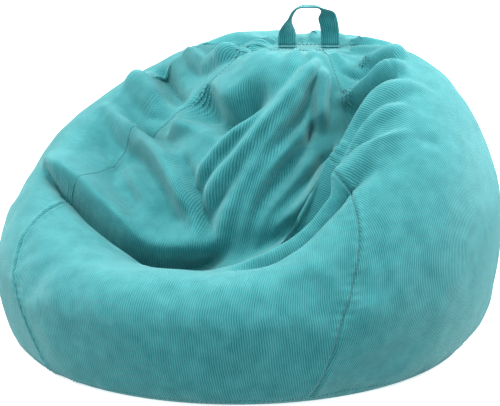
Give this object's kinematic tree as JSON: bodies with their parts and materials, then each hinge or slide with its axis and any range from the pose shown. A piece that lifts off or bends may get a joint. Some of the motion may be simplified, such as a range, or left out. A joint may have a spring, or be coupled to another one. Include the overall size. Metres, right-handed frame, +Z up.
{
  "type": "bean bag chair",
  "caption": "Round slouched bean bag seat with a high back, sewn from corduroy gores, with a carry loop on the cap and a zip at the back.",
  "frame": {"origin": "on the floor under the middle of the bag", "axes": "+Z up, the front of the seat faces -Y, +X to the right as seen from the front"},
  "size_m": [0.9468, 0.8799, 0.6043],
  "materials": {
    "corduroy": "turquoise fine-wale corduroy, velvety",
    "thread": "matt polyester thread",
    "zip_tape": "woven tape",
    "zip_teeth": "moulded nylon",
    "zip_metal": "satin nickel",
    "liner_cloth": "plain white woven cloth",
    "label_cloth": "satin ribbon, blank",
    "beads": "expanded polystyrene beads"
  },
  "bodies": {
    "cover": {"front_panel": "corduroy", "right_panel": "corduroy", "back_panel": "corduroy", "left_panel": "corduroy", "base_panel": "corduroy", "top_cap": "corduroy", "handle_end_left": "corduroy", "handle_end_right": "corduroy", "front_left_stitching": "thread", "front_right_stitching": "thread", "back_right_stitching": "thread", "back_left_stitching": "thread", "base_stitching": "thread", "cap_stitching": "thread", "handle_end_stitching": "thread", "handle_bar_tacks": "thread", "zip_tape_left": "zip_tape", "zip_tape_right": "zip_tape", "zip_teeth_left": "zip_teeth", "zip_teeth_right": "zip_teeth", "zip_bottom_stop": "zip_metal", "zip_top_stops": "zip_metal", "liner_front": "liner_cloth", "liner_back": "liner_cloth", "liner_base": "liner_cloth", "liner_top": "liner_cloth", "liner_stitching": "liner_cloth", "cap_reinforcement": "liner_cloth", "care_label": "label_cloth", "bead_filling": "beads"},
    "handle": {"handle_strap": "corduroy"},
    "zip_slider": {"zip_slider": "zip_metal"},
    "zip_pull": {"zip_pull": "zip_metal"}
  },
  "joints": [
    {"name": "handle_fold", "type": "hinge", "parent": "cover", "child": "handle", "pos_m": [0.117, 0.125, 0.5295], "axis": [1, 0, 0], "range_deg": [-60, 75]},
    {"name": "zip_run", "type": "hinge", "parent": "cover", "child": "zip_slider", "pos_m": [-0.01446, 0.03406, 0.184], "axis": [0.9205, 0.3907, 0], "range_deg": [0, 43]},
    {"name": "zip_pull_flip", "type": "hinge", "parent": "zip_slider", "child": "zip_pull", "pos_m": [-0.17041, 0.40147, 0.07637], "axis": [0.9205, 0.3907, 0], "range_deg": [0, 150]}
  ]
}
